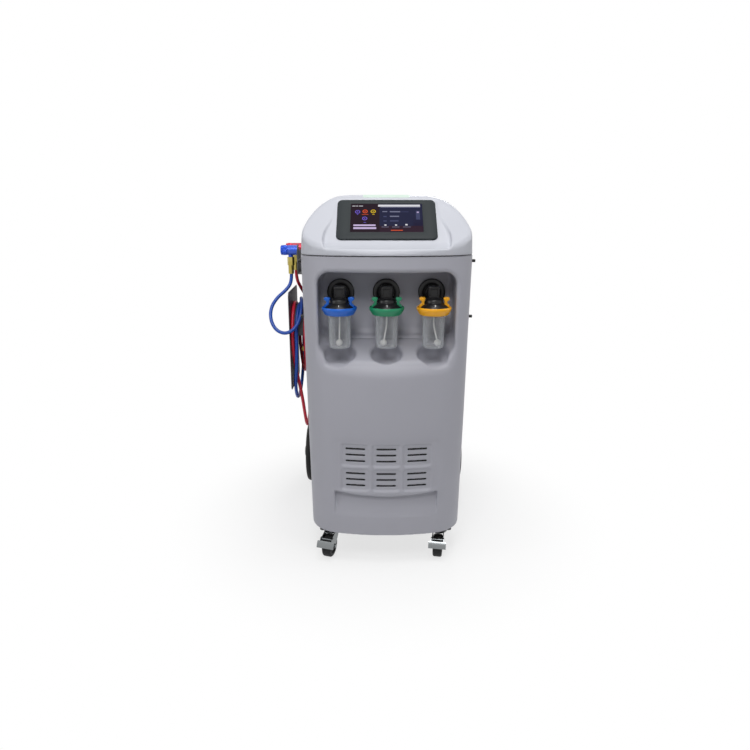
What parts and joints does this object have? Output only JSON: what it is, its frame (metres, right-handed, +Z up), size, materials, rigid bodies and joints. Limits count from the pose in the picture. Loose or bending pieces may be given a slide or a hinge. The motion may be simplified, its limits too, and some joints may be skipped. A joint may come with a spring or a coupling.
{
  "type": "air conditioning recharge station",
  "caption": "Wheeled air conditioning recharge station with a sloped touch screen, fluid bottles in an alcove, coiled service hoses on one side, front castors and large rear wheels.",
  "frame": {"origin": "on the floor under the middle of the cabinet and wheels, hoses and couplers left out", "axes": "+X to the right seen from the front, +Y to the rear, +Z up"},
  "size_m": [0.7356, 0.786, 1.177],
  "materials": {
    "hood_paint": "satin light grey",
    "front_paint": "satin grey",
    "side_paint": "powder coat",
    "frame_steel": "powder coat",
    "charcoal": "matte powder coat",
    "black_plastic": "fine grain",
    "bezel_plastic": "satin",
    "screen_glass": "gloss",
    "light_lens": "frosted",
    "chrome": "polished",
    "steel": "turned",
    "brass": "machined",
    "blue_anodised": "anodised",
    "red_anodised": "anodised",
    "blue_rubber": "satin",
    "red_rubber": "satin",
    "tyre_rubber": "matte",
    "rim_plastic": "satin",
    "bottle_clear": "clear plastic",
    "white_plastic": "satin",
    "ring_blue": "gloss",
    "ring_green": "gloss",
    "ring_yellow": "gloss",
    "tank_paint": "gloss paint",
    "block_aluminium": "machined",
    "board_green": "solder mask"
  },
  "bodies": {
    "cabinet": {"base_frame": "frame_steel", "front_panel": "front_paint", "left_side_panel": "side_paint", "right_side_panel": "side_paint", "rear_panel": "side_paint", "hood": "hood_paint", "screen_bezel": "bezel_plastic", "touch_display": "screen_glass", "status_light": "light_lens", "push_handle": "charcoal", "power_inlet": "black_plastic", "panel_screws": "black_plastic", "hose_holder": "charcoal", "coupler_bracket": "charcoal", "hose_ports": "brass", "blue_hose": "blue_rubber", "red_hose": "red_rubber", "blue_coupler_body": "blue_anodised", "blue_coupler_fitting": "brass", "red_coupler_body": "red_anodised", "red_coupler_fitting": "brass", "wall_couplings": "black_plastic", "castor_plates": "frame_steel", "rear_axle": "steel", "refrigerant_tank": "tank_paint", "tank_scale": "block_aluminium", "compressor": "frame_steel", "vacuum_pump": "tank_paint", "filter_drier": "block_aluminium", "valve_block": "block_aluminium", "control_board": "board_green", "fan_frame": "black_plastic"},
    "rocker": {"rocker_switch": "black_plastic"},
    "fan": {"fan_rotor": "black_plastic"},
    "bottle_unit_1": {"bottle_1": "bottle_clear", "bottle_ring_1": "ring_blue", "bottle_cap_1": "black_plastic", "dip_tube_1": "white_plastic"},
    "bottle_unit_2": {"bottle_2": "bottle_clear", "bottle_ring_2": "ring_green", "bottle_cap_2": "black_plastic", "dip_tube_2": "white_plastic"},
    "bottle_unit_3": {"bottle_3": "bottle_clear", "bottle_ring_3": "ring_yellow", "bottle_cap_3": "black_plastic", "dip_tube_3": "white_plastic"},
    "blue_knob": {"blue_coupler_knob": "blue_anodised"},
    "red_knob": {"red_coupler_knob": "red_anodised"},
    "castor_left": {"castor_fork_left": "chrome"},
    "castor_roller_left": {"castor_wheel_left": "tyre_rubber"},
    "castor_brake_left": {"brake_pedal_left": "chrome"},
    "rear_wheel_left": {"rear_tyre_left": "tyre_rubber", "rear_rim_left": "rim_plastic", "hub_cap_left": "black_plastic"},
    "castor_right": {"castor_fork_right": "chrome"},
    "castor_roller_right": {"castor_wheel_right": "tyre_rubber"},
    "castor_brake_right": {"brake_pedal_right": "chrome"},
    "rear_wheel_right": {"rear_tyre_right": "tyre_rubber", "rear_rim_right": "rim_plastic", "hub_cap_right": "black_plastic"}
  },
  "joints": [
    {"name": "rocker_tilt", "type": "hinge", "parent": "cabinet", "child": "rocker", "pos_m": [0.15, 0.31, 0.2175], "axis": [1, 0, 0], "range_deg": [-9, 9]},
    {"name": "fan_spin", "type": "hinge", "parent": "cabinet", "child": "fan", "pos_m": [0, 0.3, 0.4], "axis": [0, 1, 0], "continuous": true},
    {"name": "bottle_1_pull", "type": "slide", "parent": "cabinet", "child": "bottle_unit_1", "axis": [0, -1, 0], "range_m": [0, 0.12]},
    {"name": "bottle_2_pull", "type": "slide", "parent": "cabinet", "child": "bottle_unit_2", "axis": [0, -1, 0], "range_m": [0, 0.12]},
    {"name": "bottle_3_pull", "type": "slide", "parent": "cabinet", "child": "bottle_unit_3", "axis": [0, -1, 0], "range_m": [0, 0.12]},
    {"name": "blue_knob_turn", "type": "hinge", "parent": "cabinet", "child": "blue_knob", "pos_m": [-0.347, -0.036, 0.995], "axis": [-1, 0, 0], "range_deg": [0, 720]},
    {"name": "red_knob_turn", "type": "hinge", "parent": "cabinet", "child": "red_knob", "pos_m": [-0.347, 0.094, 0.995], "axis": [-1, 0, 0], "range_deg": [0, 720]},
    {"name": "castor_swivel_left", "type": "hinge", "parent": "cabinet", "child": "castor_left", "pos_m": [-0.181, -0.314, 0.09], "axis": [0, 0, 1], "continuous": true},
    {"name": "castor_spin_left", "type": "hinge", "parent": "castor_left", "child": "castor_roller_left", "pos_m": [-0.18889, -0.33982, 0.0375], "axis": [0.9563, -0.2924, 0], "continuous": true},
    {"name": "brake_press_left", "type": "hinge", "parent": "castor_left", "child": "castor_brake_left", "pos_m": [-0.19562, -0.36181, 0.072], "axis": [0.9563, -0.2924, 0], "range_deg": [0, 11]},
    {"name": "rear_spin_left", "type": "hinge", "parent": "cabinet", "child": "rear_wheel_left", "pos_m": [-0.297, 0.268, 0.125], "axis": [1, 0, 0], "continuous": true},
    {"name": "castor_swivel_right", "type": "hinge", "parent": "cabinet", "child": "castor_right", "pos_m": [0.181, -0.314, 0.09], "axis": [0, 0, 1], "continuous": true},
    {"name": "castor_spin_right", "type": "hinge", "parent": "castor_right", "child": "castor_roller_right", "pos_m": [0.17631, -0.34059, 0.0375], "axis": [0.9848, -0.1736, 0], "continuous": true},
    {"name": "brake_press_right", "type": "hinge", "parent": "castor_right", "child": "castor_brake_right", "pos_m": [0.17232, -0.36324, 0.072], "axis": [0.9848, -0.1736, 0], "range_deg": [0, 11]},
    {"name": "rear_spin_right", "type": "hinge", "parent": "cabinet", "child": "rear_wheel_right", "pos_m": [0.297, 0.268, 0.125], "axis": [1, 0, 0], "continuous": true}
  ]
}
